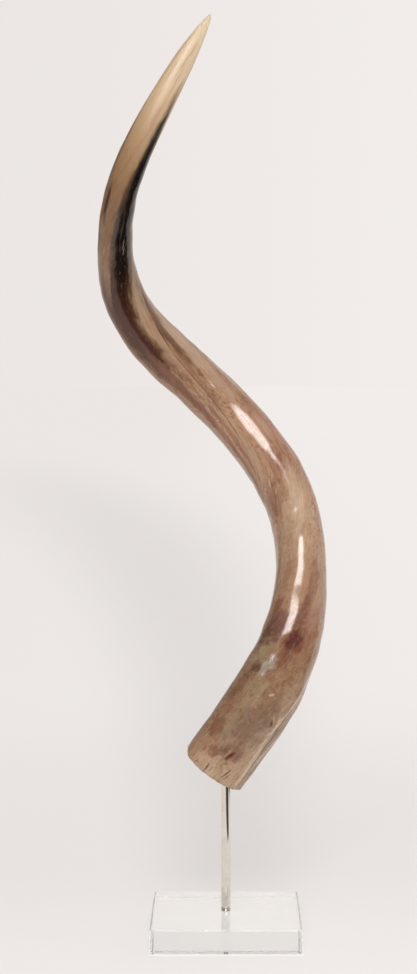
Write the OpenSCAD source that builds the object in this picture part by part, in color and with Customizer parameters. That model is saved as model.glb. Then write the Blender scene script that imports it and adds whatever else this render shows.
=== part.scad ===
// Polished spiral horn on a display stand. The hollow horn ends in a sharp solid tip and hangs on
// an upright post, which stands on a thick clear block. A plug bonded inside the horn's open end
// slides over the post, so the horn turns on the post and lifts off it.
// Millimetres, +Z up, +X to the right, +Y to the back. The origin is the middle of the stand's
// footprint, on the surface that the stand rests on.

/* [Horn] */
// Thickness of the horn's wall at its open end
rim_wall = 5; // [3:0.5:7]
// Narrow way across the horn's oval section, as a share of the wide way
section_flatness = 0.82; // [0.75:0.01:0.95]
// How far the keel that spirals up the horn stands out, as a share of the section's radius
keel_height = 0.04; // [0:0.01:0.08]
// Length of the tip over which the horn rounds off to its point
tip_length = 60; // [30:5:80]
// How far the lowest side of the open end's slanting cut runs past its highest side
mouth_slant = 5; // [0:1:10]
// How far one corner of the open end is worn back
corner_wear = 4.5; // [0:0.5:6]
// Station at which the hollow inside the horn ends
hollow_end = 8; // [6.5:0.1:8.5]

/* [Post] */
// Diameter of the post
post_d = 9.5; // [8:0.5:10]
// Height of the post's upper end above the surface that the stand rests on
post_top = 212; // [204:1:216]
// Height of the ring at the foot of the post
ring_h = 4; // [3:0.5:8]
// Thickness of the bearing button on the post's upper end
button_h = 2; // [1.5:0.5:3]

/* [Block] */
// Width of the clear block
block_w = 152; // [130:1:180]
// Depth of the clear block
block_d = 127; // [115:1:150]
// Height of the clear block
block_h = 25; // [20:1:40]
// Width of the bevel along the block's edges
block_bevel = 0.8; // [0.4:0.1:2]

/* [Fixing] */
// Diameter of the threaded insert that is cemented in the block
insert_d = 7; // [6.5:0.5:8]
// Depth of the insert in the block
insert_depth = 15; // [10:1:17]
// Outer diameter of the threaded stud that joins the insert and the post
stud_d = 5; // [4:0.5:5]
// Pitch of the stud's thread
stud_pitch = 0.8; // [0.7:0.1:1]
// Length of the stud above the block, in the ring and the post
stud_reach = 18; // [14:1:24]

/* [Hidden] */

// Stations of the horn from its open end to its tip. Each gives the centre of the section, its wide
// way across, and the compass direction of the inside of the spiral there, in degrees.
STATIONS = [
    // x, y, z, width, direction
    [-12, -12, 177, 68, 94],
    [34, -11, 240, 75, 121],
    [73, 4, 306, 73, 151],
    [80, 27, 394, 61, 190],
    [66, 65, 460, 60, 222],
    [0, 94, 542, 53, 254],
    [-64, 89, 595, 55, 284],
    [-111, 65, 647, 47, 315],
    [-115, 27, 719, 43, 355],
    [-102, -8, 772, 36, 397],
    [-62, -18, 847, 27, 440],
    [-15, -1, 930, 13, 488]
];
tip_station = len(STATIONS) - 1;
section_sides = 40;
outer_rings = 100;
hollow_rings = 36;
// Rings of the hollow at which the plug starts and ends
plug_first = 1;
plug_last = 4;
// Rings stand closer together towards the tip as this power grows
tip_crowding = 1.5;
// Side of the section where the open end's cut runs lowest, and the station where its slant ends
slant_angle = 170;
slant_end = 0.5;
// The worn corner of the open end: its side of the section, and how many degrees it spreads
corner_angle = 90;
corner_spread = 18;
// The hollow narrows by this power of the way to its end
hollow_taper = 3.5;
// The keel is on the lower side of the section, seen along the horn, and this many degrees wide
keel_angle = -90;
keel_spread = 24;

// Clearance around a piece that turns or slides, and beside a face that rests on another body
running_gap = 0.08;
face_gap = 0.1;
// Clearance around a screwed or cemented piece
thread_gap = 0.05;
edge_bevel = 0.4;
spigot_d = post_d / 2;
spigot_l = 8;
button_top = post_top + face_gap + button_h;
ring_top = block_h + ring_h;

$fn = 64;

function station(i) =
    i < 0 ? 2 * STATIONS[0] - STATIONS[1]
    : i > tip_station ? 2 * STATIONS[tip_station] - STATIONS[tip_station - 1]
    : STATIONS[i];

// A value part way along the stations: cubic B-spline weights of the four nearest stations
function blended(u) =
    let(i = min(floor(u), tip_station - 1), t = u - i)
    (pow(1 - t, 3) * station(i - 1)
     + (3 * pow(t, 3) - 6 * pow(t, 2) + 4) * station(i)
     + (-3 * pow(t, 3) + 3 * pow(t, 2) + 3 * t + 1) * station(i + 1)
     + pow(t, 3) * station(i + 2)) / 6;

// The slope of that value
function blended_slope(u) =
    let(i = min(floor(u), tip_station - 1), t = u - i)
    (-pow(1 - t, 2) * station(i - 1)
     + (3 * pow(t, 2) - 4 * t) * station(i)
     + (-3 * pow(t, 2) + 2 * t + 1) * station(i + 1)
     + pow(t, 2) * station(i + 2)) / 2;

function place(row) = [row[0], row[1], row[2]];
function unit(v) = v / norm(v);

// Rounds the tip off as an ellipse rounds its end
function tip_rounding(to_tip) =
    let(share = min(1, to_tip / tip_length))
    sqrt(1 - pow(1 - share, 2));

// Half the section's wide way across
function half_width(u) =
    let(to_tip = norm(place(blended(tip_station)) - place(blended(u))))
    blended(u)[3] / 2 * tip_rounding(to_tip);

// 1 at the middle angle, falling away smoothly on both sides of it
function bump(a, middle, spread) =
    exp(-pow(((a - middle + 540) % 360 - 180) / spread, 2));

// The keel fades out towards the tip
function keel(u, a) =
    1 + keel_height * (1 - u / tip_station) * bump(a, keel_angle, keel_spread);

// How far the open end's slanting cut and worn corner move a point down along the horn
function slant(u, a) =
    pow(max(0, 1 - u / slant_end), 2)
    * (mouth_slant * (1 + cos(a - slant_angle)) / 2
       - corner_wear * bump(a, corner_angle, corner_spread));

// One ring of points around the horn, size times its outline
function ring(u, size, keeled) =
    let(row = blended(u),
        along = unit(place(blended_slope(u))),
        inside = [cos(row[4]), sin(row[4]), 0],
        inward = unit(inside - (inside * along) * along),
        across = cross(along, inward),
        wide = size * half_width(u))
    [for (k = [0:section_sides - 1])
        let(a = 360 * k / section_sides, r = wide * (keeled ? keel(u, a) : 1))
        place(row) + r * (section_flatness * cos(a) * inward + sin(a) * across)
            - slant(u, a) * along];

function outer_station(i) = tip_station * (1 - pow(1 - i / outer_rings, tip_crowding));
function hollow_station(i) = hollow_end * i / hollow_rings;

// The hollow's size as a share of the horn's outline
function hollow_size(u) =
    (1 - rim_wall / half_width(0)) * (1 - pow(u / hollow_end, hollow_taper));

function hollow_ring(i) = ring(hollow_station(i), hollow_size(hollow_station(i)), false);

// Faces between two rings of points that start at a and b
function band(a, b) = [
    for (k = [0:section_sides - 1])
        let(next = (k + 1) % section_sides)
        each [[a + k, b + k, b + next], [a + k, b + next, a + next]]
];

// Faces from a ring that starts at a to the single point at index apex
function cone_faces(a, apex) = [
    for (k = [0:section_sides - 1]) [a + k, apex, a + (k + 1) % section_sides]
];

function reversed(faces) = [for (f = faces) [f[2], f[1], f[0]]];
function joined(rings) = [for (r = rings) each r];

module horn() {
    outer = [for (i = [0:outer_rings - 1]) ring(outer_station(i), 1, true)];
    hollow = [for (i = [0:hollow_rings - 1]) hollow_ring(i)];
    tip = place(blended(tip_station));
    hollow_tip = place(blended(hollow_end));
    hollow_start = outer_rings * section_sides;
    tip_index = hollow_start + hollow_rings * section_sides;
    color("tan")
        polyhedron(
            points = concat(joined(outer), joined(hollow), [tip, hollow_tip]),
            faces = concat(
                [for (i = [0:outer_rings - 2])
                    each band(i * section_sides, (i + 1) * section_sides)],
                cone_faces((outer_rings - 1) * section_sides, tip_index),
                reversed(
                    [for (i = [0:hollow_rings - 2])
                        each band(hollow_start + i * section_sides,
                                  hollow_start + (i + 1) * section_sides)]),
                reversed(
                    cone_faces(hollow_start + (hollow_rings - 1) * section_sides, tip_index + 1)),
                band(hollow_start, 0)),
            convexity = 8);
}

// Fills a short length of the hollow and carries the blind bore that fits the post
module horn_plug() {
    rings = [for (i = [plug_first:plug_last]) hollow_ring(i)];
    last = (plug_last - plug_first) * section_sides;
    ring_order = [for (k = [0:section_sides - 1]) k];
    color("sienna")
        difference() {
            polyhedron(
                points = joined(rings),
                faces = concat(
                    [for (i = [0:plug_last - plug_first - 1])
                        each band(i * section_sides, (i + 1) * section_sides)],
                    [ring_order],
                    [[for (k = ring_order) last + section_sides - 1 - k]]));
            cylinder(d = post_d + 2 * running_gap, h = button_top + face_gap);
        }
}

// Hard button on the post's upper end, held by its spigot, on which the horn's weight turns
module bearing_button() {
    color("white")
        translate([0, 0, post_top]) {
            translate([0, 0, face_gap])
                cylinder(d = post_d, h = button_h);
            translate([0, 0, -spigot_l])
                cylinder(d = spigot_d - 2 * thread_gap, h = spigot_l + button_h);
        }
}

// A turned rod of radius r with bevelled ends
module turned_rod(r, bottom, top) {
    rotate_extrude()
        polygon([
            [0, bottom],
            [r - edge_bevel, bottom],
            [r, bottom + edge_bevel],
            [r, top - edge_bevel],
            [r - edge_bevel, top],
            [0, top]
        ]);
}

// Hole for a screwed or cemented piece of diameter d, from height bottom up to height top
module fixing_hole(d, bottom, top) {
    translate([0, 0, bottom])
        cylinder(d = d + 2 * thread_gap, h = top - bottom);
}

module post() {
    color("silver")
        difference() {
            turned_rod(post_d / 2, ring_top, post_top);
            fixing_hole(stud_d, ring_top - 1, block_h + stud_reach + 1);
            translate([0, 0, post_top - spigot_l - 1])
                cylinder(d = spigot_d, h = spigot_l + 2);
        }
}

module foot_ring() {
    color("silver")
        difference() {
            turned_rod(post_d / 2, block_h, ring_top);
            fixing_hole(stud_d, block_h - 1, ring_top + 1);
        }
}

// Stud with a plain core and one rib for each turn of its thread
module base_stud() {
    root_r = stud_d / 2 - 0.6 * stud_pitch;
    bottom = block_h - insert_depth + 1;
    turns = floor((block_h + stud_reach - bottom) / stud_pitch);
    color("gray")
        rotate_extrude()
            polygon(concat(
                [[0, bottom]],
                [for (i = [0:turns - 1])
                    each [
                        [root_r, bottom + i * stud_pitch],
                        [stud_d / 2, bottom + (i + 0.4) * stud_pitch],
                        [stud_d / 2, bottom + (i + 0.6) * stud_pitch]
                    ]],
                [[root_r, bottom + turns * stud_pitch], [0, bottom + turns * stud_pitch]]));
}

// Closed-ended threaded sleeve with two grooves round it that key it in its cement
module base_insert() {
    bottom = block_h - insert_depth;
    groove_w = insert_depth / 10;
    groove_depth = 0.4;
    color("darkgray")
        difference() {
            translate([0, 0, bottom])
                cylinder(d = insert_d, h = insert_depth);
            fixing_hole(stud_d, bottom + 0.9, block_h + 1);
            for (height = [0.3, 0.7])
                translate([0, 0, bottom + height * insert_depth])
                    difference() {
                        cylinder(d = insert_d + 1, h = groove_w);
                        translate([0, 0, -1])
                            cylinder(d = insert_d - 2 * groove_depth, h = groove_w + 2);
                    }
        }
}

// Rectangle w by d about the origin with its corners cut off
module cut_corner_plate(w, d, cut, thickness) {
    linear_extrude(thickness, center = true)
        polygon([
            for (corner = [[1, 1], [-1, 1], [-1, -1], [1, -1]])
                each let(
                    on_side = [corner[0] * w / 2, corner[1] * (d / 2 - cut)],
                    on_end = [corner[0] * (w / 2 - cut), corner[1] * d / 2])
                corner[0] * corner[1] > 0 ? [on_side, on_end] : [on_end, on_side]
        ]);
}

// Block with every edge bevelled, and a blind hole in its top for the insert
module base_block() {
    color("aliceblue", 0.4)
        difference() {
            translate([0, 0, block_h / 2])
                intersection() {
                    cut_corner_plate(block_w, block_d, block_bevel, block_h);
                    rotate([90, 0, 0])
                        cut_corner_plate(block_w, block_h, block_bevel, block_d);
                    rotate([90, 0, 90])
                        cut_corner_plate(block_d, block_h, block_bevel, block_w);
                }
            fixing_hole(insert_d, block_h - insert_depth - thread_gap, block_h + 1);
        }
}

horn();
horn_plug();
bearing_button();
post();
foot_ring();
base_stud();
base_insert();
base_block();
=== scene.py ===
import math
from contextlib import contextmanager

import bmesh
import bpy
import numpy as np
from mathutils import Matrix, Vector


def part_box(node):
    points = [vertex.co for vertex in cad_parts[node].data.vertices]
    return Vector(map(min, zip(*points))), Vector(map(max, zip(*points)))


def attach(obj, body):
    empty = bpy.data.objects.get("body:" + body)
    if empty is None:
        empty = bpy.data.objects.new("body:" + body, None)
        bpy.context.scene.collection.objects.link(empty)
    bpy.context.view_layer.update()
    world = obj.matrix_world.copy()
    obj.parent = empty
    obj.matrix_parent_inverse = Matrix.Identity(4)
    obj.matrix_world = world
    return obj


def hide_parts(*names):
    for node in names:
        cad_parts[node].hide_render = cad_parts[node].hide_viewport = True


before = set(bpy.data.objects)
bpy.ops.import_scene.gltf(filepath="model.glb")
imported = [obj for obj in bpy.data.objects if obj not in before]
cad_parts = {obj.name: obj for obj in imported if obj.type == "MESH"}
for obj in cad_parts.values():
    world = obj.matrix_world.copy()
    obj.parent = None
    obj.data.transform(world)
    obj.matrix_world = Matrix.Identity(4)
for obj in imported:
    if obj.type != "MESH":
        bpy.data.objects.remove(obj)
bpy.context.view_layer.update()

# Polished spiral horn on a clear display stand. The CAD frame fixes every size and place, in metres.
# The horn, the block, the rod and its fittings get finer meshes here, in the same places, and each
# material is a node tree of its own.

MM = 0.001


# ---------------------------------------------------------------- horn's shape

# Stations of the horn from its open end to its tip, as in part.scad: the centre of the section, its
# wide way across, and the compass direction of the inside of the spiral there, in degrees.
STATIONS = np.array([
    # x, y, z, width, direction
    [-12, -12, 177, 68, 94],
    [34, -11, 240, 75, 121],
    [73, 4, 306, 73, 151],
    [80, 27, 394, 61, 190],
    [66, 65, 460, 60, 222],
    [0, 94, 542, 53, 254],
    [-64, 89, 595, 55, 284],
    [-111, 65, 647, 47, 315],
    [-115, 27, 719, 43, 355],
    [-102, -8, 772, 36, 397],
    [-62, -18, 847, 27, 440],
    [-15, -1, 930, 13, 488],
], float)
TIP_STATION = len(STATIONS) - 1
ENDS = 2 * STATIONS[[0, -1]] - STATIONS[[1, -2]]
CONTROLS = np.vstack([ENDS[:1], STATIONS, ENDS[1:]])

RIM_WALL = 5.0
FLATNESS = 0.82
KEEL_HEIGHT = 0.04
KEEL_ANGLE = -90.0
KEEL_SPREAD = 24.0
TIP_LENGTH = 60.0
MOUTH_SLANT = 5.0
SLANT_ANGLE = 170.0
SLANT_END = 0.5
CORNER_WEAR = 4.5
CORNER_ANGLE = 90.0
CORNER_SPREAD = 18.0
HOLLOW_END = 8.0
HOLLOW_TAPER = 3.5
PLUG_FIRST = HOLLOW_END / 36
PLUG_LAST = 4 * HOLLOW_END / 36

# Relief of the outer surface, in stations, degrees and millimetres.
SWELL_HEIGHT = 0.32
RIPPLE_HEIGHT = 0.10
RIDGE_END = 2.2
RIDGE_ANGLE = -132
RIDGE_TURN = 24
RIDGE_WIDTH = 5
RIDGE_HEIGHT = 0.6
FLUTE_OFFSET = 14
FLUTE_WIDTH = 9
FLUTE_DEPTH = 0.9
STRIATION_OFFSET = 12
STRIATION_SPREAD = 26
STRIATION_HEIGHT = 0.22
SEAM_STATION = 5.9
SEAM_ANGLE = 3
SEAM_TURNS = (4, 18)
SEAM_START = 4.5
SEAM_END = 7.5
SEAM_DEPTH = 0.5
SEAM_WIDTH = 1.6
# Two flatter places and a swelling: station and how far it spreads, angle and how far, and height.
SHALLOWS = [
    (4.62, 0.42, 33, 24, -0.9),
    (2.45, 0.45, 97, 20, -0.7),
    (1.95, 0.25, 110, 30, 0.6),
]


def blended(u):
    """Rows of x, y, z, width and direction at stations u, by cubic B-spline."""
    i = np.minimum(u.astype(int), TIP_STATION - 1)
    t = (u - i)[..., None]
    return ((1 - t) ** 3 * CONTROLS[i]
            + (3 * t ** 3 - 6 * t ** 2 + 4) * CONTROLS[i + 1]
            + (-3 * t ** 3 + 3 * t ** 2 + 3 * t + 1) * CONTROLS[i + 2]
            + t ** 3 * CONTROLS[i + 3]) / 6


def unit(v):
    return v / np.linalg.norm(v, axis=-1, keepdims=True)


def section_frame(u):
    """Centre, direction along the horn, inward and across directions, and half width at u."""
    row = blended(u)
    step = 1e-3
    ahead = blended(np.minimum(u + step, TIP_STATION))[..., :3]
    behind = blended(np.maximum(u - step, 0))[..., :3]
    along = unit(ahead - behind)
    turn = np.radians(row[..., 4])
    inside = np.stack([np.cos(turn), np.sin(turn), 0 * turn], -1)
    inward = unit(inside - (inside * along).sum(-1, keepdims=True) * along)
    to_tip = np.linalg.norm(row[..., :3] - STATIONS[-1, :3], axis=-1)
    share = np.minimum(1, to_tip / TIP_LENGTH)
    half = row[..., 3] / 2 * np.sqrt(1 - (1 - share) ** 2)
    return row[..., :3], along, inward, np.cross(along, inward), half


def wrapped(degrees):
    """An angle brought to -180 to 180 degrees."""
    return (degrees + 180) % 360 - 180


def bump(distance, width):
    """A smooth hump, 1 in the middle."""
    return np.exp(-(distance / width) ** 2)


class Waves:
    """Smooth seeded noise on the horn's own coordinates: a sum of waves that run round and along it."""

    def __init__(self, seed, count, round_most, along_most):
        rng = np.random.default_rng(seed)
        self.round = rng.integers(0, round_most + 1, count)
        self.along = rng.uniform(-along_most, along_most, count)
        self.phase = rng.uniform(0, 2 * np.pi, count)

    def __call__(self, u, angle):
        total = 0
        for turns, per_station, phase in zip(self.round, self.along, self.phase):
            total = total + np.sin(turns * np.radians(angle) + 2 * np.pi * per_station * u + phase)
        return total / math.sqrt(len(self.phase) / 2)


swells = Waves(seed=3, count=14, round_most=3, along_most=2.0)
ripples = Waves(seed=8, count=24, round_most=7, along_most=5.0)
striations = Waves(seed=5, count=26, round_most=60, along_most=0.8)


def relief(u, angle):
    """Millimetres that the outer surface stands out from its smooth oval."""
    body = np.clip((TIP_STATION - u) / 4, 0, 1)
    height = body * (SWELL_HEIGHT * swells(u, angle) + RIPPLE_HEIGHT * ripples(u, angle))
    # a ridge with a flute beside it runs up from the open end, and fine striations follow them
    near_mouth = np.clip(1 - u / RIDGE_END, 0, 1)
    from_ridge = wrapped(angle - RIDGE_ANGLE + RIDGE_TURN * np.minimum(u, 1.0))
    height += near_mouth * (RIDGE_HEIGHT * bump(from_ridge, RIDGE_WIDTH)
                            - FLUTE_DEPTH * bump(from_ridge - FLUTE_OFFSET, FLUTE_WIDTH))
    flank = bump(from_ridge - STRIATION_OFFSET, STRIATION_SPREAD)
    height += STRIATION_HEIGHT * near_mouth * flank * striations(u, angle)
    for station, length, side, width, rise in SHALLOWS:
        height += rise * bump(u - station, length) * bump(wrapped(angle - side), width)
    # the open seam up the inside of the spiral, which turns faster above its middle
    seam_angle = SEAM_ANGLE + np.where(u < SEAM_STATION, *SEAM_TURNS) * (u - SEAM_STATION)
    seam_run = np.clip((u - SEAM_START) / 0.5, 0, 1) * np.clip((SEAM_END - u) / 0.7, 0, 1)
    height -= SEAM_DEPTH * seam_run * bump(wrapped(angle - seam_angle), SEAM_WIDTH)
    return height


def outer_points(u, angle):
    """Points of the outer surface, in millimetres, at stations u and angles from the inside."""
    centre, along, inward, across, half = section_frame(u)
    a = np.radians(angle)[..., None]
    keel = 1 + KEEL_HEIGHT * (1 - u / TIP_STATION) * bump(wrapped(angle - KEEL_ANGLE), KEEL_SPREAD)
    radius = (half * keel)[..., None]
    outward = unit(np.cos(a) * inward + FLATNESS * np.sin(a) * across)
    point = centre + radius * (FLATNESS * np.cos(a) * inward + np.sin(a) * across)
    return point + relief(u, angle)[..., None] * outward - slant(u, angle)[..., None] * along


def slant(u, angle):
    """Millimetres that the slanting cut and the worn corner move a point down along the horn."""
    cut = MOUTH_SLANT * (1 + np.cos(np.radians(angle - SLANT_ANGLE))) / 2
    corner = CORNER_WEAR * bump(wrapped(angle - CORNER_ANGLE), CORNER_SPREAD)
    return np.maximum(0, 1 - u / SLANT_END) ** 2 * (cut - corner)


def hollow_points(u, angle):
    """Points of the hollow's wall, which narrows to nothing at HOLLOW_END."""
    centre, along, inward, across, half = section_frame(u)
    a = np.radians(angle)[..., None]
    rim_half = section_frame(np.zeros(1))[4][0]
    size = (1 - RIM_WALL / rim_half) * (1 - (u / HOLLOW_END) ** HOLLOW_TAPER)
    radius = (half * size)[..., None]
    point = centre + radius * (FLATNESS * np.cos(a) * inward + np.sin(a) * across)
    return point - slant(u, angle)[..., None] * along


# ---------------------------------------------------------------- mesh helpers

MERGE_DISTANCE = 1e-7


def new_object(name, mesh):
    obj = bpy.data.objects.new(name, mesh)
    bpy.context.scene.collection.objects.link(obj)
    return obj


def shade_smooth(mesh):
    mesh.polygons.foreach_set("use_smooth", [True] * len(mesh.polygons))


def mesh_object(name, points, faces):
    """A mesh from points in metres and faces of point indices."""
    mesh = bpy.data.meshes.new(name)
    mesh.from_pydata([tuple(p) for p in points], [], faces)
    mesh.validate()
    shade_smooth(mesh)
    return new_object(name, mesh)


@contextmanager
def reworked(mesh):
    """Opens a mesh for editing and writes the edits back to it."""
    work = bmesh.new()
    work.from_mesh(mesh)
    yield work
    work.to_mesh(mesh)
    work.free()


def merge_and_face_out(work):
    """Joins points that coincide, and turns every face outwards."""
    bmesh.ops.remove_doubles(work, verts=work.verts, dist=MERGE_DISTANCE)
    bmesh.ops.recalc_face_normals(work, faces=work.faces)


def place(obj, body, node):
    """Ride on a body and stand for a CAD node."""
    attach(obj, body)
    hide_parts(node)
    return obj


# ---------------------------------------------------------------- node helpers

# Most values of a noise texture lie between these two.
NOISE_SPAN = (0.3, 0.7)


class Graph:
    """Builds the nodes of a material or world. Its methods take and give sockets or plain values."""

    def __init__(self, owner):
        self.owner = owner
        owner.use_nodes = True
        self.tree = owner.node_tree
        self.tree.nodes.clear()

    def node(self, kind, inputs=None, **settings):
        made = self.tree.nodes.new(kind)
        for key, value in settings.items():
            setattr(made, key, value)
        for key, value in (inputs or {}).items():
            self.feed(made.inputs[key], value)
        return made

    def feed(self, socket, value):
        if isinstance(value, bpy.types.NodeSocket):
            self.tree.links.new(value, socket)
        elif value is not None:
            if socket.type == "RGBA" and len(value) == 3:
                value = (*value, 1)
            socket.default_value = value

    def math(self, operation, a, b=None, c=None):
        made = self.node("ShaderNodeMath", operation=operation)
        for socket, value in zip(made.inputs, (a, b, c)):
            self.feed(socket, value)
        return made.outputs[0]

    def add(self, a, b):
        return self.math("ADD", a, b)

    def sub(self, a, b):
        return self.math("SUBTRACT", a, b)

    def mul(self, a, b):
        return self.math("MULTIPLY", a, b)

    def scaled(self, value, from_low, from_high, to_low=0.0, to_high=1.0):
        """The value taken smoothly from one range to another, and kept in that range."""
        made = self.node("ShaderNodeMapRange", clamp=True, interpolation_type="SMOOTHSTEP")
        for key, item in (("Value", value), ("From Min", from_low), ("From Max", from_high),
                          ("To Min", to_low), ("To Max", to_high)):
            self.feed(made.inputs[key], item)
        return made.outputs[0]

    def vector(self, x, y, z):
        return self.node("ShaderNodeCombineXYZ", {"X": x, "Y": y, "Z": z}).outputs[0]

    def stretched(self, vector, x, y, z):
        made = self.node("ShaderNodeVectorMath", operation="MULTIPLY")
        self.feed(made.inputs[0], vector)
        made.inputs[1].default_value = (x, y, z)
        return made.outputs[0]

    def noise(self, vector, scale, detail=4.0, roughness=0.55, distortion=0.0):
        made = self.node("ShaderNodeTexNoise", {
            "Vector": vector, "Scale": scale, "Detail": detail,
            "Roughness": roughness, "Distortion": distortion})
        return made.outputs["Fac"]

    def mix(self, factor, a, b, blend="MIX"):
        made = self.node("ShaderNodeMix", data_type="RGBA", blend_type=blend)
        self.feed(made.inputs[0], factor)
        self.feed(made.inputs[6], a)
        self.feed(made.inputs[7], b)
        return made.outputs[2]

    def ramp(self, value, stops):
        made = self.node("ShaderNodeValToRGB", {"Fac": value})
        band = made.color_ramp
        band.interpolation = "B_SPLINE"
        while len(band.elements) < len(stops):
            band.elements.new(1.0)
        for element, (position, colour) in zip(band.elements, stops):
            element.position = position
            element.color = (*colour, 1)
        return made.outputs["Color"]

    def bumped(self, height, strength, distance):
        return self.node("ShaderNodeBump", {
            "Height": height, "Strength": strength, "Distance": distance}).outputs["Normal"]

    def joined(self, kind, first, second, inputs=None):
        """A mix or sum of two shaders."""
        made = self.node(kind, inputs)
        for socket, shader in zip(made.inputs[-2:], (first, second)):
            self.tree.links.new(shader.outputs[0], socket)
        return made

    def shown(self, shader, kind="ShaderNodeOutputMaterial"):
        """The owner, with the shader as its surface."""
        self.tree.links.new(shader.outputs[0], self.node(kind).inputs["Surface"])
        return self.owner

    def finish(self, inputs):
        """The Principled surface. Plain values are set on its own sockets."""
        return self.shown(self.node("ShaderNodeBsdfPrincipled", inputs))


def surface(name):
    return Graph(bpy.data.materials.new(name))


def window(g, value, middle, half, edge):
    """1 within half of the middle, falling to 0 over the edge."""
    return g.scaled(g.math("ABSOLUTE", g.sub(value, middle)), half + edge, half)


def object_place(g):
    return g.node("ShaderNodeTexCoord").outputs["Object"]


def srgb(red, green, blue):
    """A colour given in 0 to 255 as linear values."""
    return tuple((v / 255 / 12.92) if v <= 10 else ((v / 255 + 0.055) / 1.055) ** 2.4
                 for v in (red, green, blue))


# ---------------------------------------------------------------- horn's mesh

OUTER_RINGS = 520
OUTER_CROWDING = 1.6
OUTER_SIDES = 144
SIDE_ANGLES = np.arange(OUTER_SIDES) * 360.0 / OUTER_SIDES - 180
HOLLOW_RINGS = 120
RIM_LOOPS = 7
RIM_ROUNDING = 0.9
RIM_WEAR = 0.18


def grid_faces(rings, sides):
    """Quads of a tube of rings of points, with the ring and the side of each corner."""
    faces, places = [], []
    for i in range(rings - 1):
        row, above = i * sides, (i + 1) * sides
        for k in range(sides):
            n = (k + 1) % sides
            faces.append((row + k, above + k, above + n, row + n))
            places.append(((i, k), (i + 1, k), (i + 1, k + 1), (i, k + 1)))
    return faces, places


def horn_mesh():
    """The whole horn as one closed skin: outside, rim and hollow, with its own map on it."""
    share = np.arange(OUTER_RINGS) / OUTER_RINGS
    outer_u = TIP_STATION * (1 - (1 - share) ** OUTER_CROWDING)
    outer = outer_points(*np.meshgrid(outer_u, SIDE_ANGLES, indexing="ij"))
    hollow_u = HOLLOW_END * np.arange(HOLLOW_RINGS) / HOLLOW_RINGS
    hollow = hollow_points(*np.meshgrid(hollow_u, SIDE_ANGLES, indexing="ij"))

    along = section_frame(np.zeros(1))[1][0]
    across_rim = np.linspace(0, 1, RIM_LOOPS + 2)[1:-1]
    swell = RIM_ROUNDING * (1 - np.abs(2 * across_rim - 1) ** 4)
    wear = RIM_WEAR * ripples(0 * SIDE_ANGLES, 3 * SIDE_ANGLES)
    rim = (outer[0] * (1 - across_rim[:, None, None]) + hollow[0] * across_rim[:, None, None]
           - along * (swell[:, None, None] * (1 + wear[None, :, None])))

    # one tube from the tip of the hollow, out over the rim and up to the horn's tip
    tube = np.concatenate([hollow[::-1], rim[::-1], outer])
    tube_u = np.concatenate([hollow_u[::-1], np.zeros(RIM_LOOPS), outer_u])
    rings = len(tube)
    points = tube.reshape(-1, 3)
    faces, places = grid_faces(rings, OUTER_SIDES)
    hollow_tip, tip = len(points), len(points) + 1
    points = np.vstack([points, section_frame(np.array([HOLLOW_END]))[0],
                        section_frame(np.array([float(TIP_STATION)]))[0]])
    last = (rings - 1) * OUTER_SIDES
    for k in range(OUTER_SIDES):
        n = (k + 1) % OUTER_SIDES
        faces.append((hollow_tip, k, n))
        places.append(((0, k + 0.5), (0, k), (0, k + 1)))
        faces.append((tip, last + n, last + k))
        places.append(((rings - 1, k + 0.5), (rings - 1, k + 1), (rings - 1, k)))

    horn = mesh_object("horn_surface", points * MM, faces)
    layer = horn.data.uv_layers.new(name="horn")
    corners = [(tube_u[i] / TIP_STATION, k / OUTER_SIDES)
               for corner_places in places for i, k in corner_places]
    layer.data.foreach_set("uv", np.array(corners, float).ravel())
    # the hollow's own finish, which is the second, ends just inside the rim
    finishes = [int(corner_places[0][0] <= HOLLOW_RINGS) for corner_places in places]
    horn.data.polygons.foreach_set("material_index", finishes)
    with reworked(horn.data) as work:
        bmesh.ops.recalc_face_normals(work, faces=work.faces)
    return horn


# ---------------------------------------------------------------- horn's material

# The horn's ground colour along its length: station and colour.
GROUND = [
    (0.0, srgb(178, 146, 116)), (0.9, srgb(150, 120, 94)), (1.7, srgb(152, 115, 88)),
    (2.3, srgb(168, 130, 102)), (3.0, srgb(184, 150, 122)), (3.9, srgb(182, 143, 115)),
    (4.9, srgb(186, 148, 120)), (5.9, srgb(168, 135, 105)), (7.2, srgb(140, 111, 80)),
    (8.4, srgb(118, 81, 49)), (9.1, srgb(147, 110, 74)), (9.8, srgb(200, 170, 133)),
    (10.6, srgb(228, 209, 178))]

HORN_IOR = 1.55
STRIATED_ANGLE = -128
FIBRE_TINTS = [(0.30, (0.72, 0.68, 0.64)), (0.50, (0.92, 0.92, 0.91)), (0.66, (1, 1, 1))]

CHARCOAL = srgb(20, 12, 10)
PAINTED_SHEEN_GREY = srgb(62, 54, 52)
UMBER = srgb(66, 36, 24)
BARK = srgb(92, 58, 36)
MAROON = srgb(82, 24, 24)
PLUM = srgb(72, 40, 40)
MAUVE = srgb(116, 76, 72)
COCOA = srgb(76, 42, 24)
RUST = srgb(122, 74, 52)
ROSE = srgb(152, 102, 82)
MOSS = srgb(150, 134, 104)
SAND = srgb(178, 150, 122)
BLUSH = srgb(190, 162, 142)
FOG = srgb(168, 160, 148)
TAUPE = srgb(122, 98, 84)
SHELL = srgb(208, 184, 158)

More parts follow.
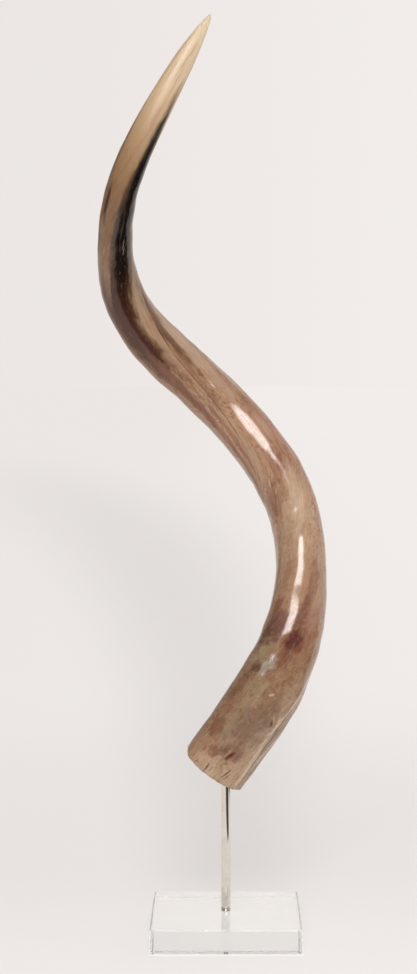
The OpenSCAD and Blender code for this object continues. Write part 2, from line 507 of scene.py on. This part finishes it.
# Markings of the horn, one row each: station and angle of the middle, half length in stations,
# half width in degrees, degrees that it turns per station, strength, and colour.
MARKINGS = [
    # pale and grey clouds near the open end
    (0.80, -160, 1.30, 26, -10, 0.60, SAND),
    (0.50, -146, 0.50, 4, -26, 0.90, SHELL),
    (1.15, -153, 0.40, 4, 12, 0.85, SHELL),
    (0.45, -134, 0.50, 4, -26, 0.70, BARK),
    (0.72, 168, 0.46, 30, 10, 0.65, TAUPE),
    (1.64, 94, 0.24, 18, 0, 0.60, MOSS),
    (1.12, 128, 0.34, 14, 0, 0.45, MOSS),
    (0.62, 138, 0.30, 10, 0, 0.40, MOSS),
    (1.47, 118, 0.13, 10, 0, 0.80, FOG),
    # brown and reddish patches along its left side
    (1.12, 101, 0.40, 9, 0, 0.45, BARK),
    (1.40, 101, 0.10, 9, 0, 0.50, UMBER),
    (0.80, 110, 0.34, 12, 0, 0.40, RUST),
    (0.50, 122, 0.12, 12, 0, 0.70, RUST),
    (0.26, 130, 0.16, 18, 0, 0.35, ROSE),
    (0.08, 155, 0.14, 30, 0, 0.35, SHELL),
    (0.23, 151, 0.07, 8, 0, 0.65, RUST),
    (0.32, 164, 0.06, 7, 0, 0.55, BARK),
    (0.34, -177, 0.09, 9, 0, 0.50, MAUVE),
    (0.30, 176, 0.06, 3, 40, 0.85, MAROON),
    # the two blotches below the bend, and their tails
    (1.98, 148, 0.26, 22, 0, 0.50, ROSE),
    (1.70, 136, 0.26, 12, 20, 0.75, RUST),
    (1.90, 130, 0.20, 19, 0, 0.75, RUST),
    (1.91, 128, 0.11, 11, 0, 0.85, MAROON),
    (2.20, 120, 0.22, 9, 0, 0.65, MAUVE),
    (2.06, 86, 0.22, 24, 0, 0.80, MAUVE),
    (1.90, 74, 0.20, 20, 0, 0.50, BARK),
    (1.86, 68, 0.12, 12, 0, 0.45, UMBER),
    (2.27, 62, 0.10, 12, 0, 0.75, RUST),
    # the belly
    (2.85, 58, 0.55, 8, -12, 0.30, RUST),
    (2.75, 26, 0.45, 8, -12, 0.25, RUST),
    (2.50, 126, 0.35, 10, -8, 0.50, RUST),
    (3.50, 68, 0.30, 13, 0, 0.45, SHELL),
    (3.70, 6, 0.30, 24, 0, 0.50, RUST),
    (4.05, 44, 0.22, 14, 0, 0.50, ROSE),
    (4.60, 76, 0.50, 12, -6, 0.40, ROSE),
    (5.10, 60, 0.40, 8, -8, 0.35, RUST),
    (5.35, 76, 0.35, 9, -8, 0.60, BLUSH),
    (4.60, 62, 0.25, 7, -8, 0.60, BLUSH),
    (4.12, 62, 0.12, 8, 0, 0.60, RUST),
    (3.72, 66, 0.35, 20, 0, 0.50, SHELL),
    (3.25, 70, 0.40, 34, 0, 0.35, SHELL),
    (4.45, 4, 0.45, 9, -6, 0.50, SAND),
    (4.75, -14, 0.50, 5, -6, 0.55, RUST),
    (3.45, 30, 0.40, 12, 0, 0.40, SAND),
    (4.30, -28, 0.45, 7, -6, 0.50, RUST),
    (5.00, -32, 0.90, 6, -4, 0.50, RUST),
    (5.50, -46, 0.60, 6, -10, 0.50, BARK),
    # the spiral's inside: a blush, a brown band under the seam, and the seam
    (5.95, 42, 0.90, 16, 0, 0.70, BLUSH),
    (5.80, 11, 0.70, 5, 12, 0.50, RUST),
    (6.30, 21, 0.65, 7, 4, 0.75, BARK),
    (7.00, 30, 0.45, 10, 0, 0.50, BARK),
    (6.60, -4, 0.90, 11, -4, 0.60, SAND),
    (5.35, 1, 0.75, 1.3, 4, 0.90, RUST),
    (6.35, 11, 0.25, 1.8, 18, 0.90, UMBER),
    (6.90, 21, 0.20, 1.8, 18, 0.90, UMBER),
    # dark bands up the second turn
    (7.12, -98, 0.40, 18, -20, 0.80, COCOA),
    (6.82, -56, 1.05, 31, -22, 1.00, COCOA),
    (5.75, -39, 0.80, 9, -4, 0.80, RUST),
    (6.75, -42, 0.80, 11, -12, 0.75, PLUM),
    (7.45, -93, 0.34, 11, -22, 0.30, SAND),
    (7.42, -50, 0.50, 26, -14, 1.00, UMBER),
    (8.25, -62, 0.95, 38, -24, 1.00, CHARCOAL),
    (9.25, -95, 0.70, 19, -26, 1.00, CHARCOAL),
    # painted sheen: a grey streak along the dark band
    (8.60, -101, 0.55, 8, -18, 0.70, PAINTED_SHEEN_GREY),
    (8.52, -156, 0.26, 8, -50, 1.00, UMBER),
    (9.20, 146, 0.50, 13, -30, 0.60, BARK),
    # ticks, curls and scratches
    (1.20, 157, 0.025, 3, 60, 0.80, SHELL),
    (0.96, -170, 0.040, 1.6, -60, 0.75, SHELL),
    (0.90, -168, 0.040, 2.0, -60, 0.85, UMBER),
    (0.05, 160, 0.060, 1.4, 0, 0.85, UMBER),
    (0.07, 167, 0.035, 1.0, 0, 0.60, UMBER),
    (0.12, -168, 0.060, 1.4, 30, 0.85, UMBER),
    (0.10, -162, 0.035, 1.0, 30, 0.60, UMBER),
    (3.97, 13, 0.050, 2, 50, 0.60, SHELL),
    (3.82, 22, 0.030, 2, 50, 0.40, SHELL),
    (7.98, -53, 0.080, 1.6, 0, 0.60, FOG),
    (7.88, -48, 0.060, 1.4, 0, 0.50, FOG),
]


def horn_coordinates(g):
    """Station from 0 to the tip, angle in degrees, and a seamless vector that runs along the grain."""
    uv = g.node("ShaderNodeUVMap", uv_map="horn").outputs[0]
    split = g.node("ShaderNodeSeparateXYZ", {"Vector": uv})
    station = g.mul(split.outputs["X"], TIP_STATION)
    angle = g.math("MULTIPLY_ADD", split.outputs["Y"], 360, -180)
    radians = g.math("RADIANS", angle)
    run = g.math("MULTIPLY_ADD", g.math("MAXIMUM", g.sub(station, 3.5), 0), -1.3, g.mul(station, 2.8))
    grain = g.vector(g.math("COSINE", radians), g.math("SINE", radians), run)
    return station, angle, grain


def marking(g, station, angle, wander, row):
    """A soft-edged patch that lies along the grain. Its edge wanders by a share of its own size."""
    middle, side, half_length, half_width, turn, strength, _ = row
    along = g.sub(station, middle)
    across = g.math("WRAP", g.sub(angle, g.math("MULTIPLY_ADD", along, turn, side)), 180, -180)
    far_along = g.math("MULTIPLY_ADD", along, 1 / half_length, wander[0])
    far_across = g.math("MULTIPLY_ADD", across, 1 / half_width, wander[1])
    far = g.math("MULTIPLY_ADD", far_along, far_along, g.mul(far_across, far_across))
    return g.scaled(g.add(far, wander[2]), 2.0, 0.1, 0.0, strength)


def clouded(g, base, station, grain):
    """Clouds and mottles over the ground colour, and thin reddish veins over the horn's middle."""
    clouds = g.noise(g.stretched(grain, 1, 1, 0.6), 1.5, detail=6, roughness=0.62)
    base = g.mix(g.scaled(clouds, 0.48, 0.72, 0, 0.50), base, ROSE)
    base = g.mix(g.scaled(clouds, 0.46, 0.28, 0, 0.40), base, SAND)
    mottles = g.noise(g.stretched(grain, 1, 1, 0.8), 5.2, detail=5, roughness=0.6, distortion=0.4)
    lower = g.scaled(station, 5.0, 1.8, 0.65, 1.0)
    body = g.mul(lower, g.scaled(station, 8.8, 7.8))
    base = g.mix(g.mul(body, g.scaled(mottles, 0.50, 0.70, 0, 0.60)), base, RUST)
    base = g.mix(g.mul(body, g.scaled(mottles, 0.48, 0.32, 0, 0.55)), base, MOSS)
    veins = g.noise(g.stretched(grain, 1, 1, 0.7), 3.4, detail=4, roughness=0.6, distortion=0.9)
    vein = g.scaled(g.math("ABSOLUTE", g.sub(veins, 0.5)), 0.05, 0.0)
    middle = g.mul(g.scaled(station, 2.6, 3.6), g.scaled(station, 6.6, 5.4))
    return g.mix(g.mul(middle, g.mul(vein, 0.55)), base, RUST)


def striated(g, base, station, angle):
    """Pale and dark lines beside the keel, near the open end."""
    lines = g.noise(g.vector(g.mul(angle, 0.22), 0.0, g.mul(station, 0.7)), 1.0, detail=3)
    from_keel = g.math("WRAP", g.sub(angle, STRIATED_ANGLE), 180, -180)
    flank = g.mul(g.scaled(g.math("ABSOLUTE", from_keel), 34, 16), g.scaled(station, 2.4, 0.9))
    base = g.mix(g.mul(flank, g.scaled(lines, 0.50, 0.62, 0, 0.75)), base, SHELL)
    return g.mix(g.mul(flank, g.scaled(lines, 0.46, 0.36, 0, 0.50)), base, BARK)


def horn_material():
    g = surface("polished_horn")
    station, angle, grain = horn_coordinates(g)

    soft = g.noise(g.stretched(grain, 1, 1, 0.8), 2.6, detail=5, roughness=0.6)
    other = g.noise(g.stretched(grain, 1.2, 1.2, 1), 3.1, detail=5, roughness=0.6)
    grainy = g.noise(g.stretched(grain, 3, 3, 2), 3.0, detail=5, roughness=0.65)
    calm = g.scaled(station, 4.5, 6.5, 2.4, 1.1)
    wander = [g.mul(g.sub(noise, 0.5), calm) for noise in (soft, other, grainy)]

    moved = g.math("MULTIPLY_ADD", wander[0], 0.3, station)
    base = g.ramp(g.math("DIVIDE", moved, TIP_STATION),
                  [(at / TIP_STATION, colour) for at, colour in GROUND])
    base = clouded(g, base, station, grain)
    for row in MARKINGS:
        base = g.mix(marking(g, station, angle, wander, row), base, row[-1])
    base = striated(g, base, station, angle)

    # fine fibres, then flecks that thin out away from the open end
    fibres = g.noise(g.stretched(grain, 7, 7, 0.9), 2.2, detail=6, roughness=0.65)
    tint = g.ramp(fibres, FIBRE_TINTS)
    base = g.mix(g.scaled(station, 9.6, 8.4, 0.35, 0.9), base, tint, blend="MULTIPLY")
    flecks = g.noise(g.stretched(grain, 1.6, 1.6, 1), 6.0, detail=5, roughness=0.7, distortion=0.6)
    dark_flecks = g.mul(g.scaled(flecks, 0.54, 0.70), g.scaled(station, 3.4, 0.8, 0.10, 0.60))
    base = g.mix(dark_flecks, base, BARK)
    pale_flecks = g.mul(g.scaled(flecks, 0.46, 0.30), g.scaled(station, 3.0, 1.0, 0.10, 0.25))
    base = g.mix(pale_flecks, base, SHELL)

    worn = g.scaled(station, 8.6, 9.8, 0.0, 0.28)
    rough = g.add(worn, g.scaled(soft, *NOISE_SPAN, 0.08, 0.15))
    return g.finish({
        "Base Color": base,
        "Roughness": rough,
        "Normal": g.bumped(g.add(fibres, g.mul(flecks, 0.5)), 0.08, 0.001),
        "IOR": HORN_IOR,
        "Subsurface Weight": 0.1,
        "Subsurface Radius": (1.0, 0.45, 0.2),
        "Subsurface Scale": 0.003,
    })


def hollow_material():
    g = surface("horn_hollow")
    _, _, grain = horn_coordinates(g)
    fibres = g.noise(g.stretched(grain, 7, 7, 0.4), 3.0, detail=6, roughness=0.65)
    colour = g.mix(g.scaled(fibres, 0.35, 0.7), srgb(168, 140, 108), srgb(112, 82, 62))
    return g.finish({
        "Base Color": colour,
        "Roughness": g.scaled(fibres, *NOISE_SPAN, 0.55, 0.75),
        "Normal": g.bumped(fibres, 0.5, 0.002),
    })


# ---------------------------------------------------------------- turned and cut pieces

TURNED_SIDES = 96
FULL_TURN = np.arange(TURNED_SIDES) * 2 * np.pi / TURNED_SIDES
THREAD_GAP = 0.05 * MM
BORE_GAP = 0.08 * MM
BLOCK_ROUNDING = 0.8 * MM
THREAD_PITCH = 0.8 * MM
THREAD_DEPTH = 0.6 * THREAD_PITCH


def softened(outline, size=0.3 * MM, steps=4):
    """An outline with each of its inner corners rounded."""
    points = [np.array(p, float) for p in outline]
    made = [points[0]]
    for before, corner, after in zip(points, points[1:], points[2:]):
        start = corner + unit(before - corner) * min(size, np.linalg.norm(before - corner) / 2.2)
        end = corner + unit(after - corner) * min(size, np.linalg.norm(after - corner) / 2.2)
        for t in np.linspace(0, 1, steps + 1):
            made.append((1 - t) ** 2 * start + 2 * t * (1 - t) * corner + t ** 2 * end)
    made.append(points[-1])
    return made


def turned(name, outline):
    """A solid turned about the post's axis from radii and heights. Both its ends are closed flat."""
    points = [(r * math.cos(a), r * math.sin(a), z) for r, z in outline for a in FULL_TURN]
    faces = []
    for row in range(0, (len(outline) - 1) * TURNED_SIDES, TURNED_SIDES):
        above = row + TURNED_SIDES
        for k in range(TURNED_SIDES):
            n = (k + 1) % TURNED_SIDES
            faces.append((row + k, row + n, above + n, above + k))
    faces.append(tuple(reversed(range(TURNED_SIDES))))
    faces.append(tuple(range(len(points) - TURNED_SIDES, len(points))))
    return finished(mesh_object(name, points, faces))


def finished(obj, sharp_from=32):
    """Outward faces, crisp corners, and shading that keeps flat faces flat."""
    with reworked(obj.data) as work:
        merge_and_face_out(work)
        for edge in work.edges:
            if edge.is_manifold and edge.calc_face_angle() > math.radians(sharp_from):
                edge.smooth = False
    weighted = obj.modifiers.new("flat_faces", "WEIGHTED_NORMAL")
    weighted.weight = 100
    weighted.keep_sharp = True
    return obj


def bored(obj, radius, bottom, top):
    """Cuts an upright round hole about the post's axis."""
    cutter = turned("cutter", [(radius, bottom), (radius, top)])
    cut = obj.modifiers.new("bore", "BOOLEAN")
    cut.object = cutter
    cut.operation = "DIFFERENCE"
    cut.solver = "EXACT"
    evaluated = obj.evaluated_get(bpy.context.evaluated_depsgraph_get())
    cut_mesh = bpy.data.meshes.new_from_object(evaluated)
    obj.modifiers.clear()
    obj.data = cut_mesh
    bpy.data.objects.remove(cutter)
    return finished(obj)


block_low, block_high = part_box("base_block")
insert_low, insert_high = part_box("base_insert")
stud_low, stud_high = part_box("base_stud")
ring_low, ring_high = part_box("foot_ring")
post_low, post_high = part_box("post")
button_low, button_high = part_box("bearing_button")
plug_low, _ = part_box("horn_plug")
block_top = block_high.z
stud_r = stud_high.x
insert_r = insert_high.x
post_r = post_high.x
tapped_r = stud_r + THREAD_GAP


def clear_block():
    """The block, with rounded edges and a blind hole for the insert."""
    work = bmesh.new()
    bmesh.ops.create_cube(work, size=1)
    for vert in work.verts:
        sides = zip(vert.co, block_low, block_high)
        vert.co = Vector(high if c > 0 else low for c, low, high in sides)
    bmesh.ops.bevel(work, geom=work.edges[:], offset=BLOCK_ROUNDING, segments=5, profile=0.5,
                    affect="EDGES")
    mesh = bpy.data.meshes.new("clear_block")
    work.to_mesh(mesh)
    work.free()
    shade_smooth(mesh)
    block = new_object("clear_block", mesh)
    return bored(block, insert_r + THREAD_GAP, insert_low.z - THREAD_GAP, block_top + 1 * MM)


def polished_post():
    """The rod, with a tapped hole up its foot and a hole down its head for the button's spigot."""
    return turned("polished_post", softened([
        (tapped_r, stud_high.z + 1 * MM), (tapped_r, post_low.z), (post_r, post_low.z),
        (post_r, post_high.z), (post_r / 2, post_high.z), (post_r / 2, button_low.z - 1 * MM)]))


def turned_ring():
    """A short collar with a shallow groove round its middle."""
    middle = (ring_low.z + ring_high.z) / 2
    outline = softened([
        (tapped_r, middle), (tapped_r, ring_low.z), (post_r, ring_low.z),
        (post_r, middle - 0.5 * MM), (post_r - 0.35 * MM, middle), (post_r, middle + 0.5 * MM),
        (post_r, ring_high.z), (tapped_r, ring_high.z), (tapped_r, middle)])
    return without_caps(turned("turned_ring", outline))


def without_caps(obj):
    """Opens a turned piece whose outline closes on itself."""
    with reworked(obj.data) as work:
        caps = [face for face in work.faces if len(face.verts) > 4]
        bmesh.ops.delete(work, geom=caps, context="FACES_ONLY")
        merge_and_face_out(work)
    return obj


def threaded_stud():
    """A rod with a true helical thread."""
    sides, steps = 40, 8
    rings = round((stud_high.z - stud_low.z) / THREAD_PITCH * steps)
    height = np.linspace(stud_low.z, stud_high.z, rings + 1)[:, None]
    turn = np.arange(sides)[None, :] / sides
    phase = ((height - stud_low.z) / THREAD_PITCH - turn) % 1
    crest = np.clip(2.6 * (0.5 - np.abs(phase - 0.5)), 0.0, 1.0)
    radius = stud_r - THREAD_DEPTH * (1 - crest)
    points = np.stack([radius * np.cos(2 * np.pi * turn), radius * np.sin(2 * np.pi * turn),
                       height + 0 * turn], -1).reshape(-1, 3)
    faces, _ = grid_faces(rings + 1, sides)
    faces.append(tuple(range(sides)))
    faces.append(tuple(reversed(range(len(points) - sides, len(points)))))
    return finished(mesh_object("threaded_stud", points, faces), sharp_from=70)


def keyed_insert():
    """A closed-ended threaded sleeve with two grooves that key it in its cement."""
    length = insert_high.z - insert_low.z
    groove_r = insert_r - 0.4 * MM
    outline = [(tapped_r, insert_low.z + 0.9 * MM), (tapped_r, insert_high.z),
               (insert_r, insert_high.z)]
    for share in (0.8, 0.4):
        top = insert_low.z + share * length
        outline += [(insert_r, top), (groove_r, top), (groove_r, top - length / 10),
                    (insert_r, top - length / 10)]
    outline += [(insert_r, insert_low.z), (insert_r / 2, insert_low.z)]
    return turned("keyed_insert", softened(outline, 0.12 * MM))


def nylon_button():
    """A flat round head on a spigot."""
    face = button_high.z - 2 * MM
    return turned("nylon_button", softened([
        (post_r / 4, button_low.z), (post_r / 2 - THREAD_GAP, button_low.z),
        (post_r / 2 - THREAD_GAP, face), (post_r, face), (post_r, button_high.z),
        (post_r / 8, button_high.z)]))


def wooden_plug():
    """Fills a short length of the hollow, with soft edges and a blind bore for the post."""
    share = np.linspace(0, 1, 40)
    edge = np.minimum(share, 1 - share)
    size = 1 - 0.03 * np.clip(1 - edge / 0.03, 0, 1) ** 2
    stations = PLUG_FIRST + share * (PLUG_LAST - PLUG_FIRST)
    u, a = np.meshgrid(stations, SIDE_ANGLES, indexing="ij")
    points = hollow_points(u, a)
    centre = section_frame(u)[0]
    points = centre + (points - centre) * size[:, None, None]
    faces, _ = grid_faces(len(share), OUTER_SIDES)
    count = len(share) * OUTER_SIDES
    faces.append(tuple(range(OUTER_SIDES)))
    faces.append(tuple(reversed(range(count - OUTER_SIDES, count))))
    plug = finished(mesh_object("wooden_plug", points.reshape(-1, 3) * MM, faces))
    return bored(plug, post_r + BORE_GAP, plug_low.z - 5 * MM, button_high.z + 0.1 * MM)


# ---------------------------------------------------------------- other materials

ACRYLIC_IOR = 1.49


def acrylic_material():
    g = surface("clear_acrylic")
    place_on = object_place(g)
    haze = g.noise(place_on, 30, detail=4, roughness=0.6)
    specks = g.noise(place_on, 900, detail=2)
    return g.finish({
        "Base Color": g.mix(g.scaled(haze, *NOISE_SPAN), srgb(246, 246, 245), srgb(242, 243, 242)),
        "Roughness": g.scaled(haze, 0.45, 0.75, 0.0, 0.03),
        "Normal": g.bumped(specks, 0.02, 0.0002),
        "IOR": ACRYLIC_IOR,
        "Transmission Weight": 1.0,
    })


def acrylic_edge_material():
    """The rounded edges, polished less than the faces, which catch the light."""
    g = surface("acrylic_edge")
    haze = g.noise(object_place(g), 120, detail=4, roughness=0.6)
    return g.finish({
        "Base Color": g.mix(g.scaled(haze, *NOISE_SPAN), srgb(255, 255, 255), srgb(250, 251, 251)),
        "Roughness": g.scaled(haze, *NOISE_SPAN, 0.15, 0.3),
        "IOR": ACRYLIC_IOR,
        "Transmission Weight": 0.45,
    })


def polished_steel_material():
    g = surface("polished_steel")
    place_on = object_place(g)
    drawn = g.noise(g.stretched(place_on, 1, 1, 0.02), 2500, detail=3)
    smudges = g.noise(place_on, 60, detail=5, roughness=0.6)
    return g.finish({
        "Base Color": g.mix(g.scaled(smudges, 0.35, 0.7), srgb(234, 229, 221), srgb(222, 216, 207)),
        "Metallic": 1.0,
        "Roughness": g.scaled(smudges, 0.4, 0.7, 0.03, 0.08),
        "Normal": g.bumped(drawn, 0.04, 0.0002),
    })


def turned_steel_material(name, light, dark, rough):
    """Steel with fine rings left by the lathe."""
    g = surface(name)
    place_on = object_place(g)
    rings = g.noise(g.stretched(place_on, 0.05, 0.05, 1), 4000, detail=3)
    patches = g.noise(place_on, 250, detail=4)
    return g.finish({
        "Base Color": g.mix(g.scaled(patches, 0.35, 0.7), light, dark),
        "Metallic": 1.0,
        "Roughness": g.scaled(patches, *NOISE_SPAN, rough, rough + 0.12),
        "Normal": g.bumped(rings, 0.25, 0.0002),
    })


def nylon_material():
    g = surface("nylon")
    place_on = object_place(g)
    cloud = g.noise(place_on, 300, detail=4)
    return g.finish({
        "Base Color": g.mix(g.scaled(cloud, *NOISE_SPAN), srgb(238, 235, 226), srgb(224, 220, 208)),
        "Roughness": g.scaled(cloud, *NOISE_SPAN, 0.35, 0.5),
        "Normal": g.bumped(cloud, 0.2, 0.0002),
        "Subsurface Weight": 0.1,
        "Subsurface Scale": 0.001,
    })


def wood_material():
    g = surface("plug_wood")
    place_on = object_place(g)
    grain = g.noise(g.stretched(place_on, 1, 1, 0.08), 700, detail=5, roughness=0.6)
    figure = g.noise(g.stretched(place_on, 1, 1, 0.2), 90, detail=4, distortion=0.6)
    pores = g.scaled(grain, 0.58, 0.66)
    colour = g.mix(g.scaled(figure, *NOISE_SPAN), srgb(150, 104, 68), srgb(112, 72, 46))
    return g.finish({
        "Base Color": g.mix(g.mul(pores, 0.6), colour, srgb(66, 40, 26)),
        "Roughness": g.scaled(grain, *NOISE_SPAN, 0.5, 0.7),
        "Normal": g.bumped(grain, 0.3, 0.0003),
    })


# ---------------------------------------------------------------- the object

horn = place(horn_mesh(), "horn_with_plug", "horn")
horn.data.materials.append(horn_material())
horn.data.materials.append(hollow_material())

# A face is one of the block's flat sides when its normal leans this far towards an axis.
SQUARE = 0.995

# How to make a piece, the body it rides on, the CAD node it stands for, its slot and its material.
PIECES = [
    (wooden_plug, "horn_with_plug", "horn_plug", "plug", wood_material()),
    (nylon_button, "button", "bearing_button", "button", nylon_material()),
    (polished_post, "stand", "post", "post", polished_steel_material()),
    (turned_ring, "stand", "foot_ring", "ring",
     turned_steel_material("ring_steel", srgb(190, 186, 181), srgb(160, 155, 150), 0.16)),
    (threaded_stud, "stand", "base_stud", "stud",
     turned_steel_material("stud_steel", srgb(186, 183, 179), srgb(150, 146, 142), 0.25)),
    (keyed_insert, "stand", "base_insert", "insert",
     turned_steel_material("insert_steel", srgb(214, 211, 207), srgb(186, 182, 177), 0.18)),
    (clear_block, "stand", "base_block", "block", acrylic_material()),
]
for make, body, node, slot, material in PIECES:
    piece = place(make(), body, node)
    piece.data.materials.clear()
    piece.data.materials.append(material)

# the block comes last, and its rounded edges have a finish of their own
piece.data.materials.append(acrylic_edge_material())
for face in piece.data.polygons:
    slanted = max(abs(c) for c in face.normal) < SQUARE
    if slanted and face.center.xy.length > 2 * insert_r:
        face.material_index = 1


# ---------------------------------------------------------------- floor, light and camera

BACKDROP_LEFT = srgb(235, 230, 227)
BACKDROP_RIGHT = srgb(242, 237, 234)
# The softbox: middle, half width and soft edge in degrees round and up, and its strength.
SOFTBOX_ROUND = (-5, 14, 5)
SOFTBOX_UP = (33.5, 8.5, 2)
SOFTBOX_STRENGTH = 15.5
ROOM_STRENGTH = 0.3

FLOOR_RADIUS = 40
FLOOR_SIDES = 96
FLOOR_GAP = 0.3 * MM
# Depth, drift, width and spread of a painted shadow on the floor behind the stand.
SHADE_DEPTH = 0.12
SHADE_DRIFT = 0.018
SHADE_WIDTH = 0.12
SHADE_SPREAD = 0.10
# Gain of a painted pool of light on the floor in front of the stand.
PAINTED_LIGHT_GAIN = 0.09
# Strength of the painted light on the floor under the clear block.
PAINTED_LIGHT_UNDER_BLOCK = 0.17
# The dark card's corners on the floor.
CARD = [(-0.76, -1.45), (0.37, -0.11), (0.62, -0.33), (0.55, 0.3), (2.6, 1.0), (2.6, -2.2),
        (0.2, -2.25)]

CAMERA_LENS = 63.83
CAMERA_SHIFT = -0.0179
CAMERA_PLACE = (0, -1.739, 0.5865)
CAMERA_TILT = 4.125


def floor_level(g, side, back):
    """How brightly the floor glows: more in a painted pool of light in front, less in a long painted
    shadow that drifts to the left.
    """
    # painted shadow: a long soft shade behind the stand that drifts to the left as it goes back
    drift = g.math("MULTIPLY_ADD", g.mul(back, back), SHADE_DRIFT, side)
    spread = g.math("MULTIPLY_ADD", g.math("ABSOLUTE", back), SHADE_SPREAD, SHADE_WIDTH)
    shade = g.scaled(g.math("DIVIDE", g.math("ABSOLUTE", drift), spread), 1.0, 0.0)
    shade = g.mul(shade, g.mul(g.scaled(back, -0.02, 0.25), g.scaled(back, 10, 2)))
    # painted light: a brighter patch of floor in front of the stand
    front = g.mul(g.scaled(back, 0.25, -0.15), g.scaled(back, -3.0, -0.8))
    front = g.mul(front, g.scaled(g.math("ABSOLUTE", side), 2.5, 0.6))
    return g.math("MULTIPLY_ADD", front, PAINTED_LIGHT_GAIN,
                  g.math("MULTIPLY_ADD", shade, -SHADE_DEPTH, 1.0))


def floor():
    """A wide sheet of pale paper. Under the clear block it glows with painted light, and it glows
    evenly far away.
    """
    angle = np.arange(FLOOR_SIDES) * 2 * np.pi / FLOOR_SIDES
    points = [(FLOOR_RADIUS * math.cos(a), FLOOR_RADIUS * math.sin(a), -FLOOR_GAP) for a in angle]
    sheet = mesh_object("floor", points, [tuple(range(FLOOR_SIDES))])
    g = surface("pale_paper")
    place_on = object_place(g)
    split = g.node("ShaderNodeSeparateXYZ", {"Vector": place_on})
    side, back = split.outputs["X"], split.outputs["Y"]
    fibre = g.scaled(g.noise(place_on, 60, detail=4), *NOISE_SPAN)
    tone = g.mix(fibre, srgb(238, 237, 239), srgb(236, 235, 237))
    paper = g.node("ShaderNodeBsdfDiffuse", {"Color": tone})
    glow_colour = g.mix(g.scaled(side, -1.0, 1.0), BACKDROP_LEFT, BACKDROP_RIGHT)
    far = g.node("ShaderNodeEmission",
                 {"Color": glow_colour, "Strength": floor_level(g, side, back)})
    distance = g.node("ShaderNodeVectorMath", operation="LENGTH")
    g.feed(distance.inputs[0], place_on)
    glow = g.scaled(distance.outputs["Value"], 0.4, 1.4, 0.75, 1.0)
    blend = g.joined("ShaderNodeMixShader", paper, far, {"Fac": glow})
    # painted light: the floor under the clear block glows in place of the light that comes through the
    # block
    under = g.mul(window(g, side, 0, block_high.x, 1 * MM),
                  window(g, back, 0, block_high.y, 1 * MM))
    painted_light_pad = g.node("ShaderNodeEmission",
                 {"Color": glow_colour, "Strength": g.mul(under, PAINTED_LIGHT_UNDER_BLOCK)})
    sheet.data.materials.append(g.shown(g.joined("ShaderNodeAddShader", blend, painted_light_pad)))


def dark_card():
    """A dark card on the floor in front and to the right, seen only in reflections.

    It gives the steel its stripe and keeps the dark band of the horn dark.
    """
    card = mesh_object("dark_card", [(x, y, 1 * MM) for x, y in CARD], [tuple(range(len(CARD)))])
    g = surface("dark_card")
    dark = g.mix(g.noise(object_place(g), 3), srgb(52, 46, 42), srgb(64, 56, 50))
    card.data.materials.append(g.finish({"Base Color": dark, "Roughness": 0.9}))
    card.visible_camera = False
    card.visible_diffuse = False
    card.visible_shadow = False
    card.visible_transmission = False


def studio():
    """A pale backdrop, a dim room to the left and in front, and one softbox in front and above."""
    world = bpy.data.worlds.new("studio")
    bpy.context.scene.world = world
    g = Graph(world)
    direction = g.node("ShaderNodeTexCoord").outputs["Generated"]
    split = g.node("ShaderNodeSeparateXYZ", {"Vector": direction})
    azimuth = g.math("DEGREES", g.math("ARCTAN2", split.outputs["X"], g.mul(split.outputs["Y"], -1)))
    elevation = g.math("DEGREES", g.math("ARCSINE", split.outputs["Z"]))
    box = g.mul(window(g, azimuth, *SOFTBOX_ROUND), window(g, elevation, *SOFTBOX_UP))
    toward_backdrop = g.math("MULTIPLY_ADD", split.outputs["X"], 1.1, split.outputs["Y"])
    surround = g.scaled(toward_backdrop, 0.15, 0.85, ROOM_STRENGTH, 1.0)
    # the camera, and whatever shows through the clear block, sees the pale backdrop on all sides
    path = g.node("ShaderNodeLightPath")
    for ray in ("Is Camera Ray", "Is Transmission Ray"):
        surround = g.math("MAXIMUM", surround, path.outputs[ray])
    strength = g.math("MULTIPLY_ADD", box, SOFTBOX_STRENGTH, surround)
    tone = g.mix(g.scaled(split.outputs["X"], -0.15, 0.15), BACKDROP_LEFT, BACKDROP_RIGHT)
    light = g.node("ShaderNodeBackground", {"Color": tone, "Strength": strength})
    g.shown(light, "ShaderNodeOutputWorld")


def camera():
    """The photograph's view: from the front, a little above, tilted down."""
    made = bpy.data.cameras.new("camera")
    made.lens = CAMERA_LENS
    made.sensor_width = 36
    made.sensor_fit = "AUTO"
    made.shift_x = CAMERA_SHIFT
    made.clip_end = 200
    obj = bpy.data.objects.new("camera", made)
    bpy.context.scene.collection.objects.link(obj)
    obj.location = CAMERA_PLACE
    obj.rotation_euler = (math.radians(90 - CAMERA_TILT), 0, 0)
    bpy.context.scene.camera = obj


floor()
dark_card()
studio()
camera()
bpy.context.scene.view_settings.view_transform = "Standard"
